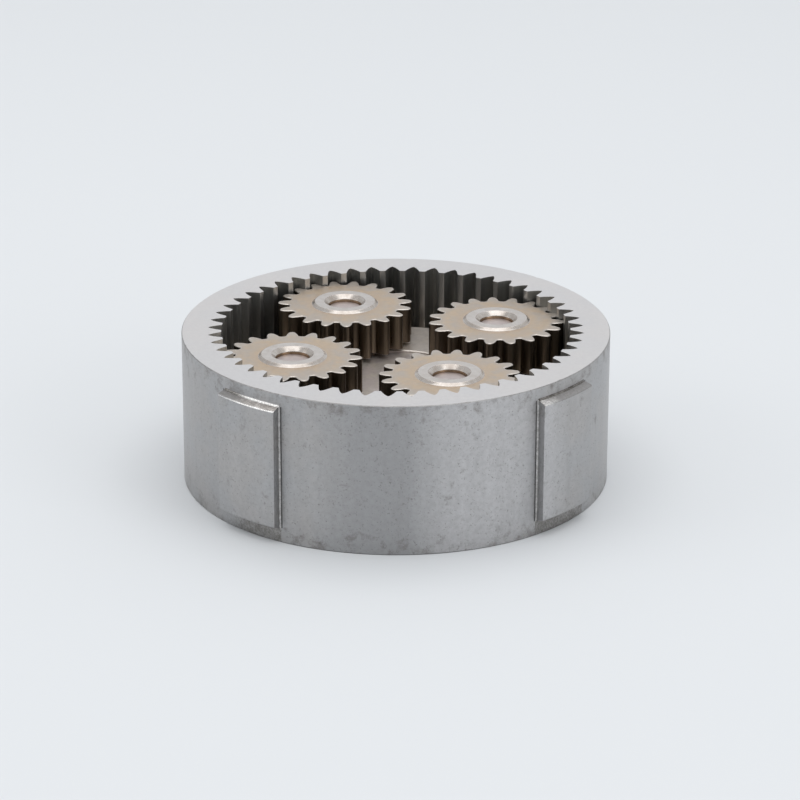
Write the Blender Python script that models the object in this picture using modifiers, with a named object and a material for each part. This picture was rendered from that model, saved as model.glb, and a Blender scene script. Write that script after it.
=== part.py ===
"""Two-stage planetary gearbox: a ring gear with two stages of planets, carriers and their pins.

The origin is on the gear axis at the ring's bottom face, and +Z is the gear axis.
"""
import math

import bmesh
import bpy
from mathutils import Vector

MM = 0.001

# Gear teeth, shared by both stages
MODULE = 0.8 * MM
PRESSURE_ANGLE = math.radians(25)
RING_TEETH = 53
PLANET_TEETH = 19
SUN_TEETH = 15
PLANET_COUNT = 4
TOOTH_THICKNESS = 1.16 * MM      # of a planet or sun tooth, on the pitch circle
RING_SPACE = 1.38 * MM           # between two ring teeth, on the pitch circle
CENTRE_DISTANCE = MODULE * (SUN_TEETH + PLANET_TEETH) / 2
RING_PITCH_RADIUS = MODULE * RING_TEETH / 2
PLANET_PITCH_RADIUS = MODULE * PLANET_TEETH / 2
SUN_PITCH_RADIUS = MODULE * SUN_TEETH / 2
PLANET_TIP_RADIUS = 8.18 * MM
PLANET_ROOT_RADIUS = 6.73 * MM
SUN_TIP_RADIUS = 6.6 * MM
SUN_ROOT_RADIUS = 5.1 * MM
RING_TIP_RADIUS = 20.7 * MM
RING_ROOT_RADIUS = 22.28 * MM
TOOTH_SHOULDER = 0.12            # share of a tooth's depth over which its end is rounded off
TOOTH_END_TAPER = 0.7            # width left at the very end of a tooth

# Angles about the gear axis
RING_SPACE_ANGLE = math.radians(2.88)
STAGE1_ANGLE = math.radians(27.2)
STAGE2_ANGLE = math.radians(72.2)

# Ring gear
RING_RADIUS = 25.4 * MM
RING_HEIGHT = 18.2 * MM
PAD_RADIUS = 26.54 * MM
PAD_ROOT_RADIUS = 24.0 * MM
PAD_HALF_ANGLE = math.radians(9.4)
PAD_FIRST_ANGLE = math.radians(49.1)
PAD_COUNT = 4
PAD_TOP = 16.7 * MM
PAD_BOTTOM = 1.8 * MM
PAD_SLOPE_DROP = 0.33 * MM       # how much shorter the pad is at its outer face, at each end

# Lower end of the ring: counterbore and groove, from the bottom face up
COUNTERBORE_RADIUS = 22.6 * MM
COUNTERBORE_DEPTH = 2.7 * MM
GROOVE_RADIUS = 23.4 * MM
GROOVE_BOTTOM = 0.45 * MM
GROOVE_TOP = 1.35 * MM

# Retaining ring
CIRCLIP_BOTTOM = 0.5 * MM
CIRCLIP_TOP = 1.3 * MM
CIRCLIP_OUTER_RADIUS = 23.25 * MM
CIRCLIP_INNER_RADIUS = 20.6 * MM
CIRCLIP_LUG_RADIUS = 18.6 * MM
CIRCLIP_LUG_ANGLE = math.radians(9)
CIRCLIP_GAP_ANGLE = math.radians(14)
CIRCLIP_HOLE_RADIUS = 0.75 * MM
CIRCLIP_HOLE_PLACE = 19.9 * MM
CIRCLIP_OPENING_ANGLE = math.radians(-90)

# End plate and its bush
END_PLATE_BOTTOM = 1.4 * MM
END_PLATE_TOP = 2.65 * MM
END_PLATE_RADIUS = 22.45 * MM
END_PLATE_BORE = 9.5 * MM
BUSH_RADIUS = 9.45 * MM
BUSH_BORE = 8.1 * MM
BUSH_BOTTOM = 0.9 * MM

# Planet gears: the hub stands proud of both faces, more so above
STAGE1_FACE_TOP = 17.0 * MM
STAGE1_FACE_BOTTOM = 12.6 * MM
STAGE2_FACE_TOP = 10.0 * MM
STAGE2_FACE_BOTTOM = 5.4 * MM
HUB_RISE = 0.32 * MM
HUB_DROP = 0.25 * MM
HUB_RADIUS = 3.67 * MM
HUB_FOOT_RADIUS = 4.15 * MM
HUB_CHAMFER = 0.49 * MM
PIN_BORE = 2.0 * MM
HUB_BLANK_BORE = 3.0 * MM

# Pins
PIN_RADIUS = 1.95 * MM
PIN_CHAMFER = 0.25 * MM
PIN_RECESS = 0.8 * MM            # from the planet's hub down to the pin's end
PIN_TAIL_GAP = 0.1 * MM

# Carriers
CARRIER_RADIUS = 16.8 * MM
STAGE1_PLATE_TOP = 12.3 * MM
STAGE1_PLATE_BOTTOM = 10.5 * MM
STAGE1_RECESS_RADIUS = 8.4 * MM
STAGE1_RECESS_DEPTH = 0.25 * MM
OUTPUT_PLATE_TOP = 5.1 * MM
OUTPUT_PLATE_BOTTOM = 2.85 * MM
OUTPUT_HUB_RADIUS = 8.0 * MM
OUTPUT_HUB_BOTTOM = 0.4 * MM
SOCKET_ACROSS_FLATS = 8.0 * MM

# Second-stage sun gear
SUN_TOP = 10.4 * MM
SUN_BOTTOM = 5.4 * MM
SUN_SHANK_RADIUS = 1.95 * MM
SUN_SHANK_TOP = 12.0 * MM
SUN_SHANK_BORE = 2.0 * MM

# Facets of round shapes; the ring has an edge between facets just inside each side of each pad
RING_FACETS = 192
PAD_FACETS = 10
PLATE_FACETS = 72
SMALL_FACETS = 24
LUG_FACETS = 3
SMOOTH_ANGLE = math.radians(35)
WELD = 0.000001
CLEAR = 1.0 * MM                 # how far a cutter runs past the face it cuts

STEEL_LIGHT = (0.62, 0.60, 0.59)
STEEL_GREY = (0.40, 0.40, 0.41)
STEEL_TAN = (0.52, 0.46, 0.40)
STEEL_DARK = (0.26, 0.25, 0.25)
BRONZE = (0.55, 0.38, 0.20)


def clear_scene():
    for obj in list(bpy.data.objects):
        bpy.data.objects.remove(obj, do_unlink=True)
    for collection in list(bpy.data.collections):
        bpy.data.collections.remove(collection)


def new_collection(name):
    collection = bpy.data.collections.new(name)
    bpy.context.scene.collection.children.link(collection)
    return collection


def new_material(name, color, roughness, metallic):
    material = bpy.data.materials.new(name)
    material.use_nodes = True
    shader = material.node_tree.nodes["Principled BSDF"]
    shader.inputs["Base Color"].default_value = (*color, 1.0)
    shader.inputs["Roughness"].default_value = roughness
    shader.inputs["Metallic"].default_value = metallic
    return material


def polar(radius, angle):
    return Vector((radius * math.cos(angle), radius * math.sin(angle)))


def circle(radius, facets, centre=Vector((0, 0)), start=0.0):
    step = 2 * math.pi / facets
    return [centre + polar(radius, start + k * step) for k in range(facets)]


def arc(radius, start, end, steps):
    return [polar(radius, start + (end - start) * k / steps) for k in range(steps + 1)]


def involute(angle):
    return math.tan(angle) - angle


def half_angle(radius, pitch_radius, width):
    """Half the angle that an involute tooth, or the space between two, takes up at a radius."""
    base_radius = pitch_radius * math.cos(PRESSURE_ANGLE)
    at_pitch = width / (2 * pitch_radius)
    ratio = min(1.0, base_radius / radius)
    return at_pitch + involute(PRESSURE_ANGLE) - involute(math.acos(ratio))


def toothed_outline(teeth, pitch_radius, width, near_radius, far_radius):
    """A closed outline with one lobe per tooth, its first lobe on +X, going round once.

    near_radius is the lobe's wide end, and far_radius its narrow end.
    """
    mid_radius = (near_radius + far_radius) / 2
    shoulder_radius = far_radius + TOOTH_SHOULDER * (near_radius - far_radius)
    lobe = [
        (near_radius, half_angle(near_radius, pitch_radius, width)),
        (mid_radius, half_angle(mid_radius, pitch_radius, width)),
        (shoulder_radius, half_angle(shoulder_radius, pitch_radius, width)),
        (far_radius, TOOTH_END_TAPER * half_angle(far_radius, pitch_radius, width)),
    ]
    points = []
    for tooth in range(teeth):
        middle = 2 * math.pi * tooth / teeth
        points += [polar(radius, middle - half) for radius, half in lobe]
        points += [polar(radius, middle + half) for radius, half in reversed(lobe)]
    return points


def meshed_planet_turn(angle):
    """Turn of a planet at this place on the carrier that puts a tooth in a ring gear space."""
    return angle + (RING_SPACE_ANGLE - angle) * RING_TEETH / PLANET_TEETH


def meshed_sun_turn(angle):
    """Turn of the sun gear that puts its spaces over the teeth of the planet at this place."""
    planet_pitch = 2 * math.pi / PLANET_TEETH
    offset = (meshed_planet_turn(angle) - angle - math.pi) % planet_pitch
    space = angle - offset * PLANET_TEETH / SUN_TEETH
    return space + math.pi / SUN_TEETH


def evaluated_mesh(obj, name):
    """A mesh copy of an object with its modifiers applied, welded, in its own coordinates."""
    bpy.context.view_layer.update()
    graph = bpy.context.evaluated_depsgraph_get()
    mesh = bpy.data.meshes.new_from_object(obj.evaluated_get(graph), depsgraph=graph)
    mesh.name = name
    work = bmesh.new()
    work.from_mesh(mesh)
    bmesh.ops.remove_doubles(work, verts=work.verts, dist=WELD)
    work.to_mesh(mesh)
    work.free()
    return mesh


def to_mesh_object(source, name, collection):
    """Replaces a curve, or an object with modifiers, by a welded mesh object of the same shape."""
    mesh = evaluated_mesh(source, name)
    solid = bpy.data.objects.new(name, mesh)
    solid.matrix_world = source.matrix_world
    collection.objects.link(solid)
    bpy.data.objects.remove(source, do_unlink=True)
    return solid


def plate(name, outlines, bottom, top, collection):
    """A flat piece: the first outline is its edge, and the others are holes through it."""
    curve = bpy.data.curves.new(name + "_outline", "CURVE")
    curve.dimensions = "2D"
    curve.fill_mode = "BOTH"
    curve.extrude = (top - bottom) / 2
    for outline in outlines:
        spline = curve.splines.new("POLY")
        spline.points.add(len(outline) - 1)
        for point, place in zip(spline.points, outline):
            point.co = (place.x, place.y, 0, 1)
        spline.use_cyclic_u = True
    source = bpy.data.objects.new(name + "_outline", curve)
    source.location = (0, 0, (top + bottom) / 2)
    collection.objects.link(source)
    bpy.context.view_layer.update()
    return to_mesh_object(source, name, collection)


def turned(name, profile, facets, collection):
    """A turned piece: a closed profile of (radius, height) points, run about the Z axis."""
    mesh = bpy.data.meshes.new(name + "_profile")
    vertices = [(radius, 0, height) for radius, height in profile]
    edges = [(k, (k + 1) % len(profile)) for k in range(len(profile))]
    if profile[0][0] == 0 and profile[-1][0] == 0:
        edges.pop()
    mesh.from_pydata(vertices, edges, [])
    source = bpy.data.objects.new(name + "_profile", mesh)
    collection.objects.link(source)
    screw = source.modifiers.new("Turn", "SCREW")
    screw.steps = facets
    screw.render_steps = facets
    screw.use_merge_vertices = True
    screw.merge_threshold = WELD
    return to_mesh_object(source, name, collection)


def combine(obj, other, operation, collection):
    """Joins or cuts an object by another with an exact Boolean, and applies it."""
    other.hide_render = True
    other.display_type = "WIRE"
    boolean = obj.modifiers.new(operation.title(), "BOOLEAN")
    boolean.operation = operation
    boolean.solver = "EXACT"
    boolean.object = other
    return to_mesh_object(obj, obj.name.split(".")[0], collection)


def finish(obj, name, material, collection):
    """Names a finished piece, gives it its material and smooths its round faces."""
    for holder in list(obj.users_collection):
        holder.objects.unlink(obj)
    collection.objects.link(obj)
    obj.name = name
    obj.data.name = name
    obj.data.materials.clear()
    obj.data.materials.append(material)
    obj.data.shade_smooth()
    obj.data.set_sharp_from_angle(angle=SMOOTH_ANGLE)
    return obj


def place_copy(mesh, name, location, turn, material, collection):
    obj = bpy.data.objects.new(name, mesh)
    obj.location = location
    obj.rotation_euler = (0, 0, turn)
    collection.objects.link(obj)
    if not mesh.materials:
        mesh.materials.append(material)
        mesh.shade_smooth()
        mesh.set_sharp_from_angle(angle=SMOOTH_ANGLE)
    return obj


def planet_place(stage_angle, index):
    angle = stage_angle + 2 * math.pi * index / PLANET_COUNT
    return angle, polar(CENTRE_DISTANCE, angle)


def pin_hole_outlines(stage_angle):
    holes = []
    for index in range(PLANET_COUNT):
        angle, centre = planet_place(stage_angle, index)
        holes.append(circle(PIN_BORE, SMALL_FACETS, centre))
    return holes


def locking_pad(angle, collection):
    """One raised pad of the ring gear, its two ends sloping to a shorter outer face."""
    start = angle - PAD_HALF_ANGLE
    end = angle + PAD_HALF_ANGLE
    outline = arc(PAD_RADIUS, start, end, PAD_FACETS)
    outline += arc(PAD_ROOT_RADIUS, end, start, PAD_FACETS)
    pad = plate("pad", [outline], PAD_BOTTOM, PAD_TOP, collection)
    outside = (PAD_RADIUS + RING_RADIUS) / 2
    for vertex in pad.data.vertices:
        if vertex.co.xy.length > outside:
            vertex.co.z -= math.copysign(PAD_SLOPE_DROP, vertex.co.z)
    return pad


def ring_gear(material, parts, tools):
    spaces = toothed_outline(RING_TEETH, RING_PITCH_RADIUS, RING_SPACE,
                             RING_TIP_RADIUS, RING_ROOT_RADIUS)
    turn = RING_SPACE_ANGLE
    cosine, sine = math.cos(turn), math.sin(turn)
    spaces = [Vector((p.x * cosine - p.y * sine, p.x * sine + p.y * cosine)) for p in spaces]
    edge = circle(RING_RADIUS, RING_FACETS, start=PAD_FIRST_ANGLE)
    ring = plate("ring_gear", [edge, spaces], 0, RING_HEIGHT, tools)
    for index in range(PAD_COUNT):
        angle = PAD_FIRST_ANGLE + 2 * math.pi * index / PAD_COUNT
        ring = combine(ring, locking_pad(angle, tools), "UNION", tools)
    relief = [
        (COUNTERBORE_RADIUS, COUNTERBORE_DEPTH),
        (COUNTERBORE_RADIUS, GROOVE_TOP),
        (GROOVE_RADIUS, GROOVE_TOP),
        (GROOVE_RADIUS, GROOVE_BOTTOM),
        (COUNTERBORE_RADIUS, GROOVE_BOTTOM),
        (COUNTERBORE_RADIUS, -CLEAR),
        (0, -CLEAR),
    ]
    cutter = turned("ring_relief", [(0, COUNTERBORE_DEPTH)] + relief, PLATE_FACETS, tools)
    ring = combine(ring, cutter, "DIFFERENCE", tools)
    return finish(ring, "ring_gear", material, parts)


def planet_mesh(name, bottom, top, tools):
    """A planet gear on the Z axis, with a hub that stands proud of both of its faces."""
    teeth = toothed_outline(PLANET_TEETH, PLANET_PITCH_RADIUS, TOOTH_THICKNESS,
                            PLANET_ROOT_RADIUS, PLANET_TIP_RADIUS)
    bore = circle(HUB_BLANK_BORE, SMALL_FACETS)
    blank = plate(name, [teeth, bore], bottom, top, tools)
    hub_top = top + HUB_RISE
    hub_bottom = bottom - HUB_DROP
    profile = [
        (HUB_RADIUS, hub_top),
        (HUB_FOOT_RADIUS, top),
        (HUB_FOOT_RADIUS, bottom),
        (HUB_RADIUS, hub_bottom),
        (PIN_BORE + HUB_CHAMFER, hub_bottom),
        (PIN_BORE, hub_bottom + HUB_CHAMFER),
        (PIN_BORE, hub_top - HUB_CHAMFER),
        (PIN_BORE + HUB_CHAMFER, hub_top),
    ]
    hub = turned(name + "_hub", profile, SMALL_FACETS, tools)
    gear = combine(blank, hub, "UNION", tools)
    mesh = gear.data
    mesh.transform(gear.matrix_world)
    bpy.data.objects.remove(gear, do_unlink=True)
    return mesh


def pin_mesh(name, bottom, top, tools):
    profile = [
        (0, top),
        (PIN_RADIUS - PIN_CHAMFER, top),
        (PIN_RADIUS, top - PIN_CHAMFER),
        (PIN_RADIUS, bottom),
        (0, bottom),
    ]
    pin = turned(name, profile, SMALL_FACETS, tools)
    mesh = pin.data
    bpy.data.objects.remove(pin, do_unlink=True)
    return mesh


def planet_set(stage, stage_angle, face_bottom, face_top, plate_bottom, materials, parts, tools):
    """The four planets of one stage and the pins that they turn on."""
    gear = planet_mesh(stage + "_planet", face_bottom, face_top, tools)
    pin_top = face_top + HUB_RISE - PIN_RECESS
    pin = pin_mesh(stage + "_pin", plate_bottom + PIN_TAIL_GAP, pin_top, tools)
    for index in range(PLANET_COUNT):
        angle, centre = planet_place(stage_angle, index)
        location = (centre.x, centre.y, 0)
        number = str(index + 1)
        turn = meshed_planet_turn(angle)
        place_copy(gear, stage + "_planet_" + number, location, turn, materials["planet"], parts)
        place_copy(pin, stage + "_pin_" + number, location, 0, materials["pin"], parts)


def stage1_carrier(material, parts, tools):
    """A flat plate with a shallow round recess in the middle of its top."""
    edge = circle(CARRIER_RADIUS, PLATE_FACETS)
    shank = circle(SUN_SHANK_BORE, SMALL_FACETS)
    outlines = [edge, shank] + pin_hole_outlines(STAGE1_ANGLE)
    disc = plate("stage1_carrier", outlines, STAGE1_PLATE_BOTTOM, STAGE1_PLATE_TOP, tools)
    recess_edge = circle(STAGE1_RECESS_RADIUS, PLATE_FACETS)
    recess_floor = STAGE1_PLATE_TOP - STAGE1_RECESS_DEPTH
    recess = plate("recess", [recess_edge], recess_floor, STAGE1_PLATE_TOP + CLEAR, tools)
    disc = combine(disc, recess, "DIFFERENCE", tools)
    return finish(disc, "stage1_carrier", material, parts)


def stage2_sun(material, parts, tools):
    teeth = toothed_outline(SUN_TEETH, SUN_PITCH_RADIUS, TOOTH_THICKNESS,
                            SUN_ROOT_RADIUS, SUN_TIP_RADIUS)
    gear = plate("stage2_sun", [teeth], SUN_BOTTOM, SUN_TOP, tools)
    profile = [
        (0, SUN_SHANK_TOP),
        (SUN_SHANK_RADIUS, SUN_SHANK_TOP),
        (SUN_SHANK_RADIUS, SUN_TOP - CLEAR),
        (0, SUN_TOP - CLEAR),
    ]
    shank = turned("sun_shank", profile, SMALL_FACETS, tools)
    gear.rotation_euler = (0, 0, meshed_sun_turn(STAGE2_ANGLE))
    gear = combine(gear, shank, "UNION", tools)
    return finish(gear, "stage2_sun", material, parts)


def output_carrier(material, parts, tools):
    edge = circle(CARRIER_RADIUS, PLATE_FACETS)
    outlines = [edge] + pin_hole_outlines(STAGE2_ANGLE)
    disc = plate("output_carrier", outlines, OUTPUT_PLATE_BOTTOM, OUTPUT_PLATE_TOP, tools)
    hub_edge = circle(OUTPUT_HUB_RADIUS, PLATE_FACETS // 2)
    hub_top = OUTPUT_PLATE_TOP - CLEAR
    hub = plate("output_hub", [hub_edge], OUTPUT_HUB_BOTTOM, hub_top, tools)
    disc = combine(disc, hub, "UNION", tools)
    socket_edge = circle(SOCKET_ACROSS_FLATS / 2 / math.cos(math.pi / 6), 6)
    socket = plate("socket", [socket_edge], OUTPUT_HUB_BOTTOM - CLEAR, OUTPUT_PLATE_TOP + CLEAR, tools)
    disc = combine(disc, socket, "DIFFERENCE", tools)
    return finish(disc, "output_carrier", material, parts)


def output_bush(material, parts, tools):
    outlines = [circle(BUSH_RADIUS, PLATE_FACETS // 2), circle(BUSH_BORE, PLATE_FACETS // 2)]
    bush = plate("output_bush", outlines, BUSH_BOTTOM, END_PLATE_TOP, tools)
    return finish(bush, "output_bush", material, parts)


def end_plate(material, parts, tools):
    outlines = [circle(END_PLATE_RADIUS, PLATE_FACETS), circle(END_PLATE_BORE, PLATE_FACETS // 2)]
    disc = plate("end_plate", outlines, END_PLATE_BOTTOM, END_PLATE_TOP, tools)
    return finish(disc, "end_plate", material, parts)


def retaining_ring(material, parts, tools):
    """An internal circlip: an open ring whose two ends carry lugs with a hole each."""
    start = CIRCLIP_OPENING_ANGLE + CIRCLIP_GAP_ANGLE / 2
    end = CIRCLIP_OPENING_ANGLE + 2 * math.pi - CIRCLIP_GAP_ANGLE / 2
    lug = CIRCLIP_LUG_ANGLE
    edge = arc(CIRCLIP_OUTER_RADIUS, start, end, PLATE_FACETS * 3 // 4)
    edge += arc(CIRCLIP_LUG_RADIUS, end, end - lug, LUG_FACETS)
    edge += arc(CIRCLIP_INNER_RADIUS, end - lug, start + lug, PLATE_FACETS // 2)
    edge += arc(CIRCLIP_LUG_RADIUS, start + lug, start, LUG_FACETS)
    holes = []
    for angle in (start + lug / 2, end - lug / 2):
        centre = polar(CIRCLIP_HOLE_PLACE, angle)
        holes.append(circle(CIRCLIP_HOLE_RADIUS, SMALL_FACETS // 2, centre))
    clip = plate("retaining_ring", [edge] + holes, CIRCLIP_BOTTOM, CIRCLIP_TOP, tools)
    return finish(clip, "retaining_ring", material, parts)


def main():
    clear_scene()
    parts = new_collection("planetary_gearbox")
    tools = new_collection("cutters")
    ring_steel = new_material("ring_steel", STEEL_GREY, 0.45, 1.0)
    carrier_steel = new_material("carrier_steel", STEEL_LIGHT, 0.40, 1.0)
    sun_steel = new_material("sun_steel", STEEL_GREY, 0.35, 1.0)
    plate_steel = new_material("plate_steel", STEEL_LIGHT, 0.30, 1.0)
    spring_steel = new_material("spring_steel", STEEL_DARK, 0.35, 1.0)
    bush_bronze = new_material("bush_bronze", BRONZE, 0.45, 1.0)
    gear_materials = {
        "planet": new_material("planet_steel", STEEL_TAN, 0.45, 1.0),
        "pin": new_material("pin_steel", STEEL_LIGHT, 0.25, 1.0),
    }
    ring_gear(ring_steel, parts, tools)
    planet_set("stage1", STAGE1_ANGLE, STAGE1_FACE_BOTTOM, STAGE1_FACE_TOP,
               STAGE1_PLATE_BOTTOM, gear_materials, parts, tools)
    stage1_carrier(carrier_steel, parts, tools)
    stage2_sun(sun_steel, parts, tools)
    planet_set("stage2", STAGE2_ANGLE, STAGE2_FACE_BOTTOM, STAGE2_FACE_TOP,
               OUTPUT_PLATE_BOTTOM, gear_materials, parts, tools)
    output_carrier(carrier_steel, parts, tools)
    output_bush(bush_bronze, parts, tools)
    end_plate(plate_steel, parts, tools)
    retaining_ring(spring_steel, parts, tools)


main()
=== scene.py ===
"""Looks of the planetary gearbox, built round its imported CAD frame.

Every piece is rebuilt from its own outline with rounded roots, eased edges and turned hubs, and
rides on the body of the CAD node that it stands for. Lengths are in metres, and +Z is the gear axis.
"""
import math
import random

import bmesh
import bpy
from mathutils import Matrix, Vector
from mathutils.geometry import tessellate_polygon


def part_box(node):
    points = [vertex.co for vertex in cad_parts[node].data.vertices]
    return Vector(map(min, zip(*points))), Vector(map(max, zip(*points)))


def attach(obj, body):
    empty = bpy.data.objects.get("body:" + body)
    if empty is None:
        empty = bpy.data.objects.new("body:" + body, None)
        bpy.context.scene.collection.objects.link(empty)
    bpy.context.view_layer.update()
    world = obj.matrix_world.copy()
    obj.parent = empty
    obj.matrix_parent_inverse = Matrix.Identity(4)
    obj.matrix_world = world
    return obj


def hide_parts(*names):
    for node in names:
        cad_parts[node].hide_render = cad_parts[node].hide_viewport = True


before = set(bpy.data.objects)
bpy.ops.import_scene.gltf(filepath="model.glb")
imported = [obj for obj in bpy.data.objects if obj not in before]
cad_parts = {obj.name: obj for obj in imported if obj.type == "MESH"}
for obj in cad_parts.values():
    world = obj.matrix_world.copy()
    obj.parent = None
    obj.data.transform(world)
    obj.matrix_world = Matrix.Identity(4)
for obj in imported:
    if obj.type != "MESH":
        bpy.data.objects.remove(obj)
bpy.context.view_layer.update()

MM = 0.001

# Gear teeth, shared by both stages
PRESSURE_ANGLE = math.radians(25)
MODULE = 0.8 * MM
RING_TEETH = 53
PLANET_TEETH = 19
SUN_TEETH = 15
PLANET_COUNT = 4
TOOTH_THICKNESS = 1.16 * MM
RING_SPACE = 1.38 * MM
PLANET_TIP = 8.18 * MM
PLANET_ROOT = 6.73 * MM
SUN_TIP = 6.6 * MM
SUN_ROOT = 5.1 * MM
RING_TIP = 20.7 * MM
RING_ROOT = 22.28 * MM
RING_SPACE_ANGLE = math.radians(2.88)
STAGE2_FIRST_ANGLE = math.radians(72.2)

# How far the tooth profile is rounded, along the radius
PLANET_TIP_ROUND = 0.22 * MM
PLANET_ROOT_ROUND = 0.22 * MM
RING_TIP_ROUND = 0.035 * MM
RING_ROOT_ROUND = 0.45 * MM
ROUND_STEPS = 5
FLANK_STEPS = 4

# Ring gear outside
PAD_COUNT = 4
PAD_FIRST_ANGLE = math.radians(49.1)
PAD_HALF_ANGLE = math.radians(9.4)
PAD_HEIGHT = 1.14 * MM
PAD_TOP = 16.7 * MM
PAD_BOTTOM = 1.8 * MM
PAD_SLOPE_DROP = 0.33 * MM
PAD_EDGE = 0.11 * MM
PAD_FILLET = 0.19 * MM
PAD_FOOT = 0.17 * MM
PAD_DRAFT = 0.03 * MM
PAD_ROUND_STEPS = 4
PAD_ROUND_SHARE = 0.3
PAD_FACE_STEPS = 14
PLAIN_STEPS = 72
RIM_EDGE = 0.09 * MM
NICK_CHANCE = 0.06
NICK_DEPTH = 0.1 * MM
NICK_SEED = 11

# Ring gear underside
COUNTERBORE_RADIUS = 22.6 * MM
COUNTERBORE_DEPTH = 2.7 * MM
GROOVE_RADIUS = 23.4 * MM
GROOVE_BOTTOM = 0.45 * MM
GROOVE_TOP = 1.35 * MM

# Planet hubs and pins. The hub's level top is that step of half its profile
HUB_RISE = 0.32 * MM
HUB_DROP = 0.25 * MM
HUB_RADIUS = 3.67 * MM
HUB_FOOT = 3.96 * MM
HUB_CHAMFER = 0.49 * MM
HUB_ROUND = 0.045 * MM
HUB_TOP_STEP = 4
PIN_BORE = 2.0 * MM
PIN_RADIUS = 1.95 * MM
PIN_EDGE = 0.06 * MM
PIN_TAIL_GAP = 0.1 * MM
GEAR_EDGE = 0.09 * MM
RUBBED_WIDTH = 0.07 * MM

# Carriers, plates and small parts
PLATE_EDGE = 0.15 * MM
SMALL_EDGE = 0.1 * MM
OUTPUT_HUB_RADIUS = 8.0 * MM
SOCKET_ACROSS_FLATS = 8.0 * MM
SOCKET_SIDES = 6
SOCKET_LEAD = 0.4 * MM
RECESS_RADIUS = 8.4 * MM
RECESS_DEPTH = 0.25 * MM
RECESS_EDGE = 0.12 * MM
SHANK_RADIUS = 1.95 * MM
SHANK_BORE = 2.0 * MM
SUN_TOP = 10.4 * MM
BUSH_BORE = 8.1 * MM
END_PLATE_BORE = 9.5 * MM
CLIP_INNER_RADIUS = 20.6 * MM
CLIP_LUG_RADIUS = 18.6 * MM
CLIP_LUG_ANGLE = math.radians(9)
CLIP_LUG_STEPS = 6
CLIP_GAP_ANGLE = math.radians(14)
CLIP_OPENING_ANGLE = math.radians(-90)
CLIP_HOLE_RADIUS = 0.75 * MM
CLIP_HOLE_PLACE = 19.9 * MM

ROUND_FACETS = 152
HOLE_FACETS = 48
WELD = 0.0001 * MM
SHARP_ANGLE = math.radians(38)

# Camera, aimed from the middle of the ring gear's top face
CAMERA_DISTANCE = 415.0 * MM
CAMERA_ELEVATION = 0.3517
CAMERA_ROLL = -0.0018
CAMERA_LENS = 157.39
CAMERA_SENSOR = 36.0
AIM_ACROSS = -0.001169
AIM_UP = 0.020524
CAMERA_NEAR = 0.05
CAMERA_FAR = 20.0

# Paper floor, and the air round the object, dim on one side and bright on the other
FLOOR_HALF = 3.0
FLOOR_COLOR = (0.67, 0.683, 0.697)
FLOOR_ROUGHNESS = 0.9
AIR_COLOR = (0.95, 0.975, 1.0)
AIR_BRIGHT_SIDE = (0.8, 0.6, 0.0)
AIR_DIM = 0.668
AIR_BRIGHT = 0.96

# Soft boxes: place, aim, size and radiance
OVERHEAD_LIGHT = ((0, 0.02, 0.55), (0, 0, 0), 0.6, 1.25)
SIDE_LIGHT = ((0.42, -0.34, 0.22), (0, 0, 0.01), 0.3, 1.6)
LEFT_LIGHT = ((-0.46, -0.06, 0.24), (0, 0, 0.01), 0.3, 1.0)

# Colours of the ring gear's outer wall, with painted light towards one side and painted shade towards
# another
WALL_COOL = (0.465, 0.465, 0.47)
WALL_WARM = (0.48, 0.47, 0.465)
WALL_PAINTED_LIGHT = (0.545, 0.54, 0.545)
WALL_LIT_SIDE = (0.39, -0.92, 0.0)
WALL_PAINTED_SHADE = (0.385, 0.385, 0.39)
WALL_SHADED_SIDE = (-0.03, -1.0, 0.0)
WALL_FADE_START = 23.9 * MM
WALL_FADE_END = 25.3 * MM
WALL_MARK = (0.28, 0.275, 0.27)
WALL_SHADE = (0.22, 0.21, 0.205)
WALL_SOOT = (0.17, 0.15, 0.135)
WALL_PIT = (0.16, 0.15, 0.14)
WALL_MIDDLE = 9.1 * MM
WALL_SOOT_START = 5.5 * MM

# Pad borders: the painted shade where their painted highlights end, the directions of the pads'
# far ends, and how raggedly and how far past its start a painted mark fades
PAD_TOP_PAINTED_SHADE = (0.31, 0.30, 0.295)
PAD_SHADE = (0.15, 0.14, 0.13)
LEFT_PAD_END = (-0.756, 0.655, 0.0)
RIGHT_PAD_END = (0.655, 0.756, 0.0)
MARK_RAGGED = 3.0 * MM
MARK_FADE_START = 1.5 * MM
MARK_FADE_END = 4.0 * MM

# Painted highlight on the lands of the ring gear's teeth, and how far behind the tooth tips it fades
LAND_PAINTED_HIGHLIGHT = (0.43, 0.425, 0.41)
LAND_START = 0.02 * MM
LAND_END = 0.14 * MM

# Tan faces of the planets: stained near the hub and pale out on the teeth
TAN = (0.495, 0.435, 0.38)
TAN_WARM = (0.55, 0.44, 0.33)
TAN_STAIN = (0.56, 0.43, 0.31)
TAN_PALE = (0.50, 0.455, 0.41)
TAN_DARK = (0.26, 0.20, 0.15)
STAIN_START = 4.1 * MM
STAIN_END = 5.0 * MM
PALE_START = 6.2 * MM
PALE_END = 7.6 * MM
CLOUD_REACH = 2.5 * MM

# Colour sockets of a Mix node
MIX_FIRST = 6
MIX_SECOND = 7
MIX_RESULT = 2


# ---------------------------------------------------------------- outlines

def polar(radius, angle):
    return Vector((radius * math.cos(angle), radius * math.sin(angle)))


def circle(radius, facets, centre=Vector((0, 0))):
    step = 2 * math.pi / facets
    return [centre + polar(radius, k * step) for k in range(facets)]


def arc(radius, start, end, steps):
    return [polar(radius, start + (end - start) * k / steps) for k in range(steps + 1)]


def involute(angle):
    return math.tan(angle) - angle


def lobe_half_angle(radius, teeth, width):
    """Half the angle that an involute tooth, or the space between two, takes up at a radius."""
    pitch_radius = MODULE * teeth / 2
    base_radius = pitch_radius * math.cos(PRESSURE_ANGLE)
    ratio = min(1.0, base_radius / radius)
    return width / (2 * pitch_radius) + involute(PRESSURE_ANGLE) - involute(math.acos(ratio))


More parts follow.
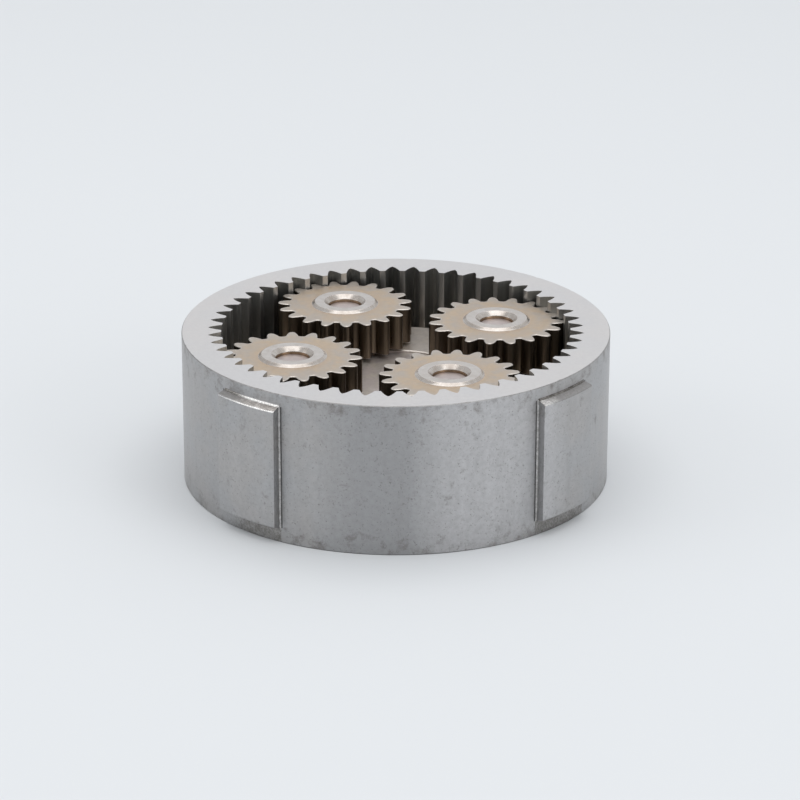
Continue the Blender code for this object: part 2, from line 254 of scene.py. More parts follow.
def flank(teeth, width, near, far, near_round, far_round):
    """(radius, half angle) down one side of a lobe, from its wide end at near to its end at far."""
    quarter = [math.pi / 2 * k / ROUND_STEPS for k in range(ROUND_STEPS + 1)]
    side = []
    for a in reversed(quarter):
        radius = near + near_round * (1 - math.sin(a))
        between = math.pi / teeth - lobe_half_angle(radius, teeth, width)
        side.append((radius, math.pi / teeth - between * math.cos(a)))
    low = near + near_round
    high = far - far_round
    for k in range(1, FLANK_STEPS):
        radius = low + (high - low) * k / FLANK_STEPS
        side.append((radius, lobe_half_angle(radius, teeth, width)))
    for a in quarter:
        radius = far - far_round * (1 - math.sin(a))
        side.append((radius, lobe_half_angle(radius, teeth, width) * math.cos(a)))
    return side


def toothed(teeth, width, near, far, near_round, far_round, turn=0.0):
    """A closed outline, anticlockwise, with one rounded lobe per tooth."""
    side = flank(teeth, width, near, far, near_round, far_round)
    points = []
    for tooth in range(teeth):
        middle = turn + 2 * math.pi * tooth / teeth
        points += [polar(radius, middle - half) for radius, half in side]
        points += [polar(radius, middle + half) for radius, half in reversed(side[1:-1])]
    return points


def moved_in(outline, distance):
    """The outline moved to its own left, which is into the material, with mitred corners."""
    moved = []
    count = len(outline)
    for k, point in enumerate(outline):
        before = (point - outline[k - 1]).normalized()
        after = (outline[(k + 1) % count] - point).normalized()
        left_before = Vector((-before.y, before.x))
        left_after = Vector((-after.y, after.x))
        together = left_before + left_after
        moved.append(point + together * distance / (1 + left_before.dot(left_after)))
    return moved


# ---------------------------------------------------------------- building meshes

class Shape:
    """The vertices and faces of one piece, each face with the number of its finish."""

    def __init__(self):
        self.points = []
        self.faces = []
        self.finishes = []

    def loop(self, places):
        first = len(self.points)
        self.points += [tuple(place) for place in places]
        return list(range(first, len(self.points)))

    def level(self, outline, height):
        return self.loop([(point.x, point.y, height) for point in outline])

    def face(self, corners, finish):
        self.faces.append(corners)
        self.finishes.append(finish)

    def wall(self, lower, upper, finish):
        for k in range(len(lower)):
            self.face((lower[k - 1], lower[k], upper[k], upper[k - 1]), finish)

    def walls(self, loops, finishes):
        for lower, upper, finish in zip(loops, loops[1:], finishes):
            self.wall(lower, upper, finish)

    def fill(self, loops, finish):
        """Fills the flat area inside the first loop and outside the others."""
        flat = [index for loop in loops for index in loop]
        outlines = [[Vector(self.points[index]) for index in loop] for loop in loops]
        for triangle in tessellate_polygon(outlines):
            self.face([flat[corner] for corner in triangle], finish)

    def turned(self, profile, facets, finishes):
        """Turns (radius, height) points about the Z axis, and returns the first and last loops."""
        loops = [self.level(circle(radius, facets), height) for radius, height in profile]
        self.walls(loops, finishes)
        return loops[0], loops[-1]

    def eased(self, outline, bottom, top, edge, side_finish, edge_finish):
        """The side of a flat piece with an eased edge at both ends."""
        inner = moved_in(outline, edge)
        loops = [
            self.level(inner, bottom),
            self.level(outline, bottom + edge),
            self.level(outline, top - edge),
            self.level(inner, top),
        ]
        self.walls(loops, [edge_finish, side_finish, edge_finish])
        return loops[0], loops[-1]


def smooth_fan(vertex, faces):
    """Takes from the faces round a vertex one that is left, and those it runs smoothly into."""
    fan = [faces.pop()]
    for face in fan:
        for edge in face.edges:
            if edge.smooth and vertex in edge.verts:
                fan += [other for other in edge.link_faces if other in faces]
                faces[:] = [other for other in faces if other not in fan]
    return fan


def weigh_normals(mesh):
    """Weighs the normals by face area, so that flat faces stay flat up to their eased edges."""
    work = bmesh.new()
    work.from_mesh(mesh)
    normals = {}
    for vertex in work.verts:
        faces = list(vertex.link_faces)
        while faces:
            fan = smooth_fan(vertex, faces)
            total = sum((face.normal * face.calc_area() for face in fan), Vector((0, 0, 0)))
            for face in fan:
                normals[face.index, vertex.index] = total.normalized()
    work.free()
    corners = []
    for polygon in mesh.polygons:
        corners += [normals[polygon.index, vertex] for vertex in polygon.vertices]
    mesh.normals_split_custom_set(corners)


def make_mesh(name, shape, turn, centre):
    mesh = bpy.data.meshes.new(name)
    mesh.from_pydata(shape.points, [], shape.faces)
    mesh.polygons.foreach_set("material_index", shape.finishes)
    local = mesh.attributes.new("local", "FLOAT_VECTOR", "POINT")
    local.data.foreach_set("vector", [value for point in shape.points for value in point])
    place = Matrix.Translation((centre.x, centre.y, 0)) @ Matrix.Rotation(turn, 4, "Z")
    mesh.transform(place)
    work = bmesh.new()
    work.from_mesh(mesh)
    bmesh.ops.remove_doubles(work, verts=work.verts, dist=WELD)
    bmesh.ops.recalc_face_normals(work, faces=work.faces)
    work.to_mesh(mesh)
    work.free()
    mesh.shade_smooth()
    mesh.set_sharp_from_angle(angle=SHARP_ANGLE)
    weigh_normals(mesh)
    return mesh


def piece(name, shape, materials, body, node, turn=0.0, centre=Vector((0, 0))):
    mesh = make_mesh(name, shape, turn, centre)
    for material in materials:
        mesh.materials.append(material)
    obj = bpy.data.objects.new(name, mesh)
    bpy.context.scene.collection.objects.link(obj)
    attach(obj, body)
    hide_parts(node)


# ---------------------------------------------------------------- materials

class Finish:
    """A procedural metal under construction: its node tree and its Principled shader."""

    def __init__(self, name, stretch=(1, 1, 1)):
        self.material = bpy.data.materials.new(name)
        self.material.use_nodes = True
        self.tree = self.material.node_tree
        self.shader = self.tree.nodes["Principled BSDF"]
        coordinates = self.tree.nodes.new("ShaderNodeTexCoord")
        self.place = self.scaled(coordinates.outputs["Object"], stretch)

    def set(self, socket, value):
        if isinstance(value, bpy.types.NodeSocket):
            self.tree.links.new(value, socket)
        elif isinstance(value, tuple) and len(value) == 3 and socket.type == "RGBA":
            socket.default_value = (*value, 1.0)
        else:
            socket.default_value = value

    def scaled(self, vector, stretch):
        node = self.tree.nodes.new("ShaderNodeMapping")
        self.set(node.inputs["Vector"], vector)
        node.inputs["Scale"].default_value = stretch
        return node.outputs["Vector"]

    def noise(self, size, detail=3.0, roughness=0.55, vector=None):
        """Noise whose features are about this size across."""
        node = self.tree.nodes.new("ShaderNodeTexNoise")
        self.set(node.inputs["Vector"], vector or self.place)
        node.inputs["Scale"].default_value = 1 / size
        node.inputs["Detail"].default_value = detail
        node.inputs["Roughness"].default_value = roughness
        return node.outputs["Fac"]

    def spread(self, value, low, high, bottom=0.0, top=1.0):
        """Maps low..high to bottom..top, and stops there."""
        node = self.tree.nodes.new("ShaderNodeMapRange")
        self.set(node.inputs["Value"], value)
        node.inputs["From Min"].default_value = low
        node.inputs["From Max"].default_value = high
        node.inputs["To Min"].default_value = bottom
        node.inputs["To Max"].default_value = top
        return node.outputs["Result"]

    def maths(self, operation, first, second):
        node = self.tree.nodes.new("ShaderNodeMath")
        node.operation = operation
        self.set(node.inputs[0], first)
        self.set(node.inputs[1], second)
        return node.outputs["Value"]

    def mix(self, factor, first, second):
        node = self.tree.nodes.new("ShaderNodeMix")
        node.data_type = "RGBA"
        self.set(node.inputs["Factor"], factor)
        self.set(node.inputs[MIX_FIRST], first)
        self.set(node.inputs[MIX_SECOND], second)
        return node.outputs[MIX_RESULT]

    def own_place(self):
        """Place in the piece's own coordinates, which turn with it."""
        attribute = self.tree.nodes.new("ShaderNodeAttribute")
        attribute.attribute_name = "local"
        return attribute.outputs["Vector"]

    def along(self, direction):
        """How far a point lies along a direction from the piece's own origin."""
        node = self.tree.nodes.new("ShaderNodeVectorMath")
        node.operation = "DOT_PRODUCT"
        self.set(node.inputs[0], self.own_place())
        node.inputs[1].default_value = direction
        return node.outputs["Value"]

    def radius(self):
        """Distance from the piece's own turning axis."""
        flat = self.scaled(self.own_place(), (1, 1, 0))
        node = self.tree.nodes.new("ShaderNodeVectorMath")
        node.operation = "LENGTH"
        self.set(node.inputs[0], flat)
        return node.outputs["Value"]

    def relief(self, height, depth):
        """The normal of a surface that rises by that depth as height goes from 0 to 1."""
        node = self.tree.nodes.new("ShaderNodeBump")
        node.inputs["Strength"].default_value = 1.0
        node.inputs["Distance"].default_value = depth
        self.set(node.inputs["Height"], height)
        return node.outputs["Normal"]

    def done(self, color, roughness, normal, bare=1.0):
        """Closes the finish. Bare is how far the metal shows through its dull skin."""
        self.shader.inputs["Metallic"].default_value = bare
        self.set(self.shader.inputs["Base Color"], color)
        self.set(self.shader.inputs["Roughness"], roughness)
        self.set(self.shader.inputs["Normal"], normal)
        return self.material


def sintered(name, cool, warm, dark, rough, pores, depth, patch, bare=1.0):
    """Pressed and sintered steel: soft patches of colour, fine mottling and small dark pores.
    Depth, of the relief, and patch, the size of the patches, are in millimetres."""
    made = Finish(name)
    patches = made.spread(made.noise(patch * MM, detail=2.0), 0.4, 0.6)
    mottle = made.noise(0.55 * MM, detail=4.0, roughness=0.65)
    grain = made.noise(0.13 * MM, detail=2.0)
    pits = made.spread(made.noise(0.22 * MM, detail=2.0, roughness=0.6), 0.6, 0.72)
    color = made.mix(patches, cool, warm)
    color = made.mix(made.spread(mottle, 0.35, 0.7, 0.32, 0.0), color, dark)
    color = made.mix(made.maths("MULTIPLY", pits, pores), color, dark)
    roughness = made.spread(mottle, 0.3, 0.7, rough - 0.06, rough + 0.08)
    surface = made.maths("SUBTRACT", made.maths("MULTIPLY", grain, 0.5), pits)
    return made.done(color, roughness, made.relief(surface, depth * MM), bare)


def ring_wall():
    """Outer wall of the ring gear: upright marks, a painted light side and painted shade in front,
    and soot by its rims.
    """
    made = Finish("ring_wall")
    above_middle = made.maths("SUBTRACT", made.along((0, 0, 1)), WALL_MIDDLE)
    from_middle = made.maths("ABSOLUTE", above_middle, 0.0)
    near_rim = made.spread(from_middle, WALL_SOOT_START, WALL_MIDDLE, 0.0, 0.13)
    upright = made.scaled(made.place, (1, 1, 0.07))
    marks = made.noise(1.3 * MM, detail=3.0, roughness=0.6, vector=upright)
    patches = made.spread(made.noise(5.5 * MM, detail=2.0), 0.4, 0.6)
    mottle = made.noise(0.6 * MM, detail=5.0, roughness=0.7)
    grain = made.noise(0.13 * MM, detail=2.0)
    pits = made.spread(made.noise(0.24 * MM, detail=2.0, roughness=0.6), 0.6, 0.72)
    smears = made.noise(1.6 * MM, detail=5.0, roughness=0.7)
    soot = made.spread(made.maths("ADD", smears, near_rim), 0.6, 0.78)
    # Painted light on a band towards the front right, and painted shade on a band at the front
    shaded_side = made.spread(made.along(WALL_SHADED_SIDE), WALL_FADE_START, WALL_FADE_END)
    lit_side = made.spread(made.along(WALL_LIT_SIDE), WALL_FADE_START, WALL_FADE_END)
    color = made.mix(patches, WALL_COOL, WALL_WARM)
    color = made.mix(shaded_side, color, WALL_PAINTED_SHADE)
    color = made.mix(lit_side, color, WALL_PAINTED_LIGHT)
    color = made.mix(made.spread(marks, 0.3, 0.7, 0.0, 0.15), color, WALL_MARK)
    color = made.mix(made.spread(mottle, 0.33, 0.62, 0.26, 0.0), color, WALL_SHADE)
    color = made.mix(made.maths("MULTIPLY", soot, 0.6), color, WALL_SOOT)
    color = made.mix(made.maths("MULTIPLY", pits, 0.5), color, WALL_PIT)
    roughness = made.spread(mottle, 0.3, 0.7, 0.36, 0.5)
    surface = made.maths("SUBTRACT", made.maths("MULTIPLY", grain, 0.5), pits)
    return made.done(color, roughness, made.relief(surface, 0.014 * MM))


def painted_pad_light(name, cool, warm, dark, toward, start, rough=0.42, beyond=WALL_COOL):
    """Painted highlight or painted shade on a pad's border, or on the wall under it. It gives way
    raggedly to the colour beyond it from a start, measured along the pad from its middle."""
    made = Finish(name)
    patches = made.spread(made.noise(0.9 * MM, detail=3.0), 0.42, 0.6)
    specks = made.noise(0.28 * MM, detail=4.0, roughness=0.7)
    speckle = made.spread(specks, 0.36, 0.62, 0.75, 0.0)
    ragged = made.noise(0.8 * MM, detail=4.0, roughness=0.7)
    wander = made.maths("MULTIPLY", ragged, MARK_RAGGED)
    reach = made.maths("ADD", made.along(toward), wander)
    color = made.mix(patches, cool, warm)
    color = made.mix(made.maths("MULTIPLY", speckle, 0.6), color, dark)
    ended = made.spread(reach, start + MARK_FADE_START, start + MARK_FADE_END)
    color = made.mix(ended, color, beyond)
    color = made.mix(made.maths("MULTIPLY", speckle, 0.5), color, dark)
    grain = made.noise(0.14 * MM, detail=3.0, roughness=0.7)
    return made.done(color, rough, made.relief(grain, 0.02 * MM))


def streaked(name, light, deep, rough, painted_highlight=None):
    """Tooth flanks: marks of the press tool run along the axis. The last argument is a painted
    highlight
    on the lands: a lighter colour and the two distances from the axis between which it gives way to
    the flank."""
    made = Finish(name, (1, 1, 0.06))
    broad = made.spread(made.noise(1.6 * MM, detail=2.0), 0.35, 0.65)
    fine = made.noise(0.35 * MM, detail=4.0, roughness=0.7)
    color = made.mix(broad, deep, light)
    color = made.mix(made.spread(fine, 0.4, 0.7, 0.0, 0.5), color, deep)
    # Painted highlight on the lands, fading from the tips towards the roots
    if painted_highlight:
        bright, near, far = painted_highlight
        color = made.mix(made.spread(made.radius(), near, far, 0.9, 0.0), color, bright)
    roughness = made.spread(fine, 0.3, 0.7, rough - 0.08, rough + 0.08)
    return made.done(color, roughness, made.relief(fine, 0.01 * MM))


def planet_face():
    """Tan face of a planet: oil-stained near the hub, rubbed lighter out on the teeth."""
    made = Finish("planet_face")
    radius = made.radius()
    cloud = made.noise(2.6 * MM, detail=3.0, roughness=0.6)
    mottle = made.noise(0.5 * MM, detail=4.0, roughness=0.65)
    grain = made.noise(0.12 * MM, detail=2.0)
    wander = made.maths("MULTIPLY", made.maths("SUBTRACT", cloud, 0.5), CLOUD_REACH)
    shifted = made.maths("ADD", radius, wander)
    outward = made.spread(shifted, PALE_START, PALE_END)
    near_hub = made.spread(shifted, STAIN_START, STAIN_END, 0.6, 0.0)
    color = made.mix(made.spread(cloud, 0.4, 0.6), TAN, TAN_WARM)
    color = made.mix(near_hub, color, TAN_STAIN)
    color = made.mix(outward, color, TAN_PALE)
    color = made.mix(made.spread(mottle, 0.35, 0.65, 0.2, 0.0), color, TAN_DARK)
    roughness = made.spread(mottle, 0.3, 0.7, 0.40, 0.52)
    return made.done(color, roughness, made.relief(grain, 0.006 * MM))


def turned_metal(name, light, deep, rough, lines=0.09):
    """Turned or ground metal: fine rings about the piece's own axis, that many millimetres wide,
    and faint clouding."""
    made = Finish(name)
    radius = made.radius()
    rings = made.tree.nodes.new("ShaderNodeTexNoise")
    rings.noise_dimensions = "1D"
    made.set(rings.inputs["W"], radius)
    rings.inputs["Scale"].default_value = 1 / (lines * MM)
    rings.inputs["Detail"].default_value = 3.0
    cloud = made.noise(1.1 * MM, detail=3.0, roughness=0.6)
    color = made.mix(made.spread(cloud, 0.35, 0.65), light, deep)
    color = made.mix(made.spread(rings.outputs["Fac"], 0.4, 0.7, 0.0, 0.25), color, deep)
    roughness = made.spread(cloud, 0.3, 0.7, rough - 0.06, rough + 0.08)
    return made.done(color, roughness, made.relief(rings.outputs["Fac"], 0.004 * MM))


def ring_materials():
    return [
        sintered("ring_top", cool=(0.547, 0.538, 0.538), warm=(0.562, 0.545, 0.538),
                 dark=(0.41, 0.39, 0.40), rough=0.42, pores=0.15, depth=0.004, patch=7.0, bare=0.35),
        ring_wall(),
        # Dark finish of small edges, also painted as a shade line along the feet of the pads
        sintered("dark_edge_and_shade_line", cool=(0.14, 0.14, 0.14), warm=(0.19, 0.185, 0.18),
                 dark=(0.06, 0.06, 0.06), rough=0.45, pores=0.6, depth=0.01, patch=1.0),
        sintered("rim_edge", cool=(0.40, 0.395, 0.39), warm=(0.34, 0.33, 0.325),
                 dark=(0.16, 0.15, 0.14), rough=0.42, pores=0.6, depth=0.01, patch=1.4),
        # Ring teeth with a painted highlight on their lands
        streaked("ring_teeth", light=(0.47, 0.47, 0.45), deep=(0.30, 0.30, 0.29), rough=0.36,
                 painted_highlight=(LAND_PAINTED_HIGHLIGHT, RING_TIP + LAND_START, RING_TIP + LAND_END)),
    ]


def left_pad_materials():
    """Painted highlights on the borders of the pads on the left as the camera sees them, painted
    shade where some end, and the painted shade under every pad.
    """
    bright = {"cool": (0.97, 0.96, 0.94), "warm": (0.88, 0.86, 0.84), "dark": (0.52, 0.50, 0.48)}
    return [
        # Painted shade on the wall under every pad
        painted_pad_light("under_pad_painted_shade", cool=(0.42, 0.41, 0.40), warm=(0.34, 0.33, 0.315),
                 dark=(0.15, 0.14, 0.13), toward=LEFT_PAD_END, start=0.8 * MM),
        painted_pad_light("edge_painted_highlight", **bright, toward=LEFT_PAD_END, start=0.4 * MM, rough=0.24),
        painted_pad_light("crease_painted_highlight_and_shade", **bright, toward=LEFT_PAD_END, start=-0.4 * MM, rough=0.24,
                 beyond=PAD_SHADE),
        painted_pad_light("fillet_painted_highlight", cool=(0.60, 0.59, 0.58), warm=(0.42, 0.41, 0.40),
                 dark=(0.22, 0.21, 0.20), toward=LEFT_PAD_END, start=9.0 * MM, rough=0.32),
        painted_pad_light("slope_painted_highlight_and_shade", cool=(0.66, 0.62, 0.59), warm=(0.46, 0.43, 0.40),
                 dark=(0.20, 0.18, 0.17), toward=LEFT_PAD_END, start=-0.6 * MM, rough=0.36,
                 beyond=PAD_TOP_PAINTED_SHADE),
    ]


def right_pad_materials():
    """Painted shade on the borders of the pads on the right as the camera sees them, with a painted
    glint near one end of their top edges.
    """
    return [
        painted_pad_light("edge_painted_glint_and_shade", cool=(0.90, 0.88, 0.86), warm=(0.74, 0.72, 0.70),
                 dark=(0.16, 0.15, 0.14), toward=RIGHT_PAD_END, start=-4.2 * MM, rough=0.36,
                 beyond=PAD_TOP_PAINTED_SHADE),
        painted_pad_light("crease_painted_shade", cool=(0.28, 0.265, 0.25), warm=(0.13, 0.12, 0.11),
                 dark=(0.04, 0.035, 0.03), toward=RIGHT_PAD_END, start=3.6 * MM),
    ]


def planet_materials():
    return [
        planet_face(),
        sintered("planet_edge", cool=(0.56, 0.52, 0.48), warm=(0.62, 0.57, 0.52),
                 dark=(0.34, 0.29, 0.25), rough=0.36, pores=0.3, depth=0.005, patch=1.0),
        streaked("planet_teeth", light=(0.25, 0.20, 0.15), deep=(0.125, 0.098, 0.075), rough=0.34),
        turned_metal("planet_hub", light=(0.55, 0.51, 0.475), deep=(0.42, 0.37, 0.33), rough=0.24),
        turned_metal("hub_top", light=(0.60, 0.565, 0.54), deep=(0.53, 0.49, 0.46), rough=0.40),
        turned_metal("planet_bore", light=(0.42, 0.30, 0.20), deep=(0.25, 0.18, 0.12), rough=0.4),
        turned_metal("pin_end", light=(0.56, 0.50, 0.49), deep=(0.49, 0.43, 0.42), rough=0.38),
    ]


def carrier_materials():
    return [
        sintered("carrier", cool=(0.62, 0.56, 0.51), warm=(0.65, 0.58, 0.515),
                 dark=(0.33, 0.28, 0.24), rough=0.34, pores=0.35, depth=0.005, patch=3.0,
                 bare=0.65),
        sintered("carrier_recess", cool=(0.63, 0.56, 0.535), warm=(0.65, 0.59, 0.525),
                 dark=(0.33, 0.28, 0.25), rough=0.34, pores=0.35, depth=0.005, patch=2.5,
                 bare=0.65),
    ]


def lower_materials():
    """Finishes of what lies under the upper carrier: the sun, the bush, the plate and the circlip."""
    return [
        streaked("sun", light=(0.48, 0.45, 0.42), deep=(0.28, 0.26, 0.24), rough=0.34),
        sintered("sun_face", cool=(0.58, 0.56, 0.54), warm=(0.62, 0.58, 0.54),
                 dark=(0.34, 0.31, 0.28), rough=0.4, pores=0.3, depth=0.006, patch=2.0),
        turned_metal("plate", light=(0.68, 0.67, 0.66), deep=(0.55, 0.54, 0.53), rough=0.3,
                     lines=0.16),
        streaked("spring", light=(0.20, 0.19, 0.19), deep=(0.12, 0.12, 0.12), rough=0.32),
        sintered("bronze", cool=(0.62, 0.43, 0.24), warm=(0.66, 0.47, 0.27),
                 dark=(0.32, 0.20, 0.10), rough=0.42, pores=0.6, depth=0.01, patch=2.5),
    ]


def make_materials():
    made = ring_materials() + left_pad_materials() + right_pad_materials()
    made += planet_materials() + carrier_materials() + lower_materials()
    return {material.name: material for material in made}


# ---------------------------------------------------------------- ring gear

RING_FINISHES = (
    "ring_top", "ring_wall", "dark_edge_and_shade_line", "ring_teeth", "rim_edge", "under_pad_painted_shade",
    "edge_painted_highlight", "crease_painted_highlight_and_shade", "fillet_painted_highlight", "slope_painted_highlight_and_shade", "edge_painted_glint_and_shade", "crease_painted_shade",
)

# How many bands the outer wall has between its rims, and a pad has below its face and on it
WALL_BANDS = 13
UNDER_PAD_SHADE_BANDS = 4
FACE_BANDS = 3


def pad_bands(face, border):
    """Bands up a pad, with painted shade below it, with this finish on its face and these on its
    upper border.
    """
    below = ["dark_edge_and_shade_line"] + ["under_pad_painted_shade"] * UNDER_PAD_SHADE_BANDS
    return below + [face] * FACE_BANDS + border + ["ring_wall", "rim_edge"]


# Finish of each band of the outer wall, from the bottom rim up, in each zone round it
BANDS = {
    "wall": ["dark_edge_and_shade_line"] + ["ring_wall"] * WALL_BANDS + ["rim_edge"],
    # Beside each pad the narrow foot strip is painted dark up its height, a painted shade line along
    # the pad's foot
    "foot": ["dark_edge_and_shade_line", "ring_wall"] + ["dark_edge_and_shade_line"] * (WALL_BANDS - 2) + ["ring_wall", "rim_edge"],
    "fillet": pad_bands("fillet_painted_highlight", ["fillet_painted_highlight"] * 5),
    # Pads by turns: painted highlights on the upper border, or painted shade with a painted glint
    "painted_highlight": pad_bands("ring_wall", ["edge_painted_highlight"] * 2 + ["slope_painted_highlight_and_shade"] + ["crease_painted_highlight_and_shade"] * 2),
    "painted_shade": pad_bands("ring_wall", ["edge_painted_glint_and_shade"] * 3 + ["crease_painted_shade"] * 2),
}


def side_profile():
    """(distance outside the pad's half angle, height above the wall) from a pad's face down to it."""
    quarter = [math.pi / 2 * k / PAD_ROUND_STEPS for k in range(PAD_ROUND_STEPS + 1)]
    points = []
    for a in quarter:
        points.append((-PAD_EDGE * (1 - math.sin(a)), PAD_HEIGHT - PAD_EDGE * (1 - math.cos(a))))
    for a in quarter:
        points.append((PAD_DRAFT + PAD_FILLET * (1 - math.cos(a)), PAD_FILLET * (1 - math.sin(a))))
    return points


def wall_columns(ring_radius):
    """(angle, height above the wall, zone of the strip before it) of each upright line, in turn."""
    sector = 2 * math.pi / PAD_COUNT
    side = side_profile()
    rounds = len(side) // 2
    face_half = PAD_HALF_ANGLE - PAD_EDGE / ring_radius
    plain_start = PAD_HALF_ANGLE + (PAD_DRAFT + PAD_FILLET + PAD_FOOT) / ring_radius
    plain = sector - 2 * plain_start
    columns = []
    for index in range(PAD_COUNT):
        middle = PAD_FIRST_ANGLE + index * sector
        # Every other pad gets painted highlights, the rest painted shade
        pad = "painted_highlight" if index % 2 == 0 else "painted_shade"
        up = ["foot"] + ["fillet"] * (rounds - 1) + [pad] * rounds
        down = [pad] * (rounds + 1) + ["fillet"] * (rounds - 1)
        columns.append((middle - plain_start, 0.0, "wall"))
        for (across, height), zone in zip(reversed(side), up):
            columns.append((middle - PAD_HALF_ANGLE - across / ring_radius, height, zone))
        for k in range(1, PAD_FACE_STEPS):
            columns.append((middle + face_half * (2 * k / PAD_FACE_STEPS - 1), PAD_HEIGHT, pad))
        for (across, height), zone in zip(side, down):
            columns.append((middle + PAD_HALF_ANGLE + across / ring_radius, height, zone))
        columns.append((middle + plain_start, 0.0, "foot"))
        for k in range(1, PLAIN_STEPS):
            columns.append((middle + plain_start + plain * k / PLAIN_STEPS, 0.0, "wall"))
    return columns


def pad_rows(height):
    """(height above the wall, place along the axis) up one upright line that crosses a pad."""
    edge = min(PAD_EDGE, PAD_ROUND_SHARE * height)
    fillet = min(PAD_FILLET, PAD_ROUND_SHARE * height)
    corner = 1 - math.sqrt(0.5)

    def bottom(out):
        return PAD_BOTTOM + PAD_SLOPE_DROP * out / PAD_HEIGHT

    def top(out):
        return PAD_TOP - PAD_SLOPE_DROP * out / PAD_HEIGHT

    return [
        (0, bottom(0) - fillet),
        (corner * fillet, bottom(0) - corner * fillet),
        (fillet, bottom(fillet)),
        (height - edge, bottom(height - edge)),
        (height - corner * edge, bottom(height) + corner * edge),
        (height, bottom(height) + edge),
        (height, top(height) - edge),
        (height - corner * edge, top(height) - corner * edge),
        (height - edge, top(height - edge)),
        (fillet, top(fillet)),
        (corner * fillet, top(0) + corner * fillet),
        (0, top(0) + fillet),
    ]


def ring_outside(shape, radius, height):
    """The ring gear's outer wall with its pads. Returns the loops at its bottom and top faces."""
    chance = random.Random(NICK_SEED)
    columns = wall_columns(radius)
    upright = []
    for angle, out, zone in columns:
        nick = NICK_DEPTH * chance.random() if chance.random() < NICK_CHANCE else 0.0
        rows = [(-RIM_EDGE, 0), (0, RIM_EDGE)] + pad_rows(out)
        rows += [(0, height - RIM_EDGE - nick), (-RIM_EDGE - nick, height)]
        upright.append([(*polar(radius + away, angle), along) for away, along in rows])
    loops = [shape.loop(row) for row in zip(*upright)]
    for band, (lower, upper) in enumerate(zip(loops, loops[1:])):
        for k, (angle, out, zone) in enumerate(columns):
            corners = (lower[k - 1], lower[k], upper[k], upper[k - 1])
            shape.face(corners, RING_FINISHES.index(BANDS[zone][band]))
    return loops[0], loops[-1]


def ring_gear(materials):
    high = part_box("ring_gear")[1]
    level = RING_FINISHES.index("ring_top")
    edge = RING_FINISHES.index("dark_edge_and_shade_line")
    flanks = RING_FINISHES.index("ring_teeth")
    radius = high.x
    height = high.z
    shape = Shape()
    bottom, top = ring_outside(shape, radius, height)
    teeth = toothed(RING_TEETH, RING_SPACE, RING_TIP, RING_ROOT, RING_TIP_ROUND,
                    RING_ROOT_ROUND, RING_SPACE_ANGLE)
    teeth_top = shape.level(teeth, height)
    teeth_bottom = shape.level(teeth, COUNTERBORE_DEPTH)
    shape.wall(teeth_bottom, teeth_top, flanks)
    shape.fill([top, teeth_top], level)
    relief = [
        (COUNTERBORE_RADIUS + SMALL_EDGE, 0),
        (COUNTERBORE_RADIUS, SMALL_EDGE),
        (COUNTERBORE_RADIUS, GROOVE_BOTTOM),
        (GROOVE_RADIUS, GROOVE_BOTTOM),
        (GROOVE_RADIUS, GROOVE_TOP),
        (COUNTERBORE_RADIUS, GROOVE_TOP),
        (COUNTERBORE_RADIUS, COUNTERBORE_DEPTH),
    ]
    mouth, shoulder = shape.turned(relief, ROUND_FACETS, [edge] + [flanks] * (len(relief) - 2))
    shape.fill([bottom, mouth], level)
    shape.fill([shoulder, teeth_bottom], flanks)
    finishes = [materials[name] for name in RING_FINISHES]
    piece("sintered_ring_gear", shape, finishes, "root", "ring_gear")


# ---------------------------------------------------------------- planets and pins

PLANET_FINISHES = (
    "planet_face", "planet_edge", "planet_teeth", "planet_hub", "planet_bore", "hub_top",
)


def meshed_planet_turn(angle):
    """Turn of a planet at this place on the carrier that puts a tooth in a ring gear space."""
    return angle + (RING_SPACE_ANGLE - angle) * RING_TEETH / PLANET_TEETH


def hub_rise(face, rise):
    """Half of the hub's profile, from its foot on a face at that height up and down into the bore."""
    sign = math.copysign(1, rise)
    end = face + rise
    fall = sign * HUB_CHAMFER
    soft = sign * HUB_ROUND
    return [
        (HUB_FOOT + 2 * HUB_ROUND, face),
        (HUB_FOOT, face + soft / 2),
        (HUB_RADIUS + HUB_ROUND, end - soft),
        (HUB_RADIUS, end - soft / 4),
        (HUB_RADIUS - HUB_ROUND, end),
        (PIN_BORE + HUB_CHAMFER + HUB_ROUND, end),
        (PIN_BORE + HUB_CHAMFER, end - soft / 4),
        (PIN_BORE + HUB_CHAMFER - HUB_ROUND, end - soft),
        (PIN_BORE + HUB_ROUND / 2, end - fall + soft / 2),
        (PIN_BORE, end - fall - soft),
    ]


def planet(name, node, centre, turn, materials, body):
    face, edge, teeth, hub, bore, hub_top = range(len(PLANET_FINISHES))
    low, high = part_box(node)
    top = high.z - HUB_RISE
    bottom = low.z + HUB_DROP
    shape = Shape()
    outline = toothed(PLANET_TEETH, TOOTH_THICKNESS, PLANET_ROOT, PLANET_TIP,
                      PLANET_ROOT_ROUND, PLANET_TIP_ROUND)
    face_bottom, edge_top = shape.eased(outline, bottom, top, GEAR_EDGE, teeth, edge)
    face_top = shape.level(moved_in(outline, GEAR_EDGE + RUBBED_WIDTH), top)
    shape.wall(edge_top, face_top, edge)
    rise = hub_rise(top, HUB_RISE)
    profile = rise + list(reversed(hub_rise(bottom, -HUB_DROP)))
    bands = [hub] * (len(rise) - 1)
    bands[HUB_TOP_STEP] = hub_top
    foot_top, foot_bottom = shape.turned(profile, ROUND_FACETS, bands + [bore] + bands[::-1])
    shape.fill([face_top, foot_top], face)
    shape.fill([face_bottom, foot_bottom], face)
    finishes = [materials[kind] for kind in PLANET_FINISHES]
    piece(name, shape, finishes, body, node, turn, centre)


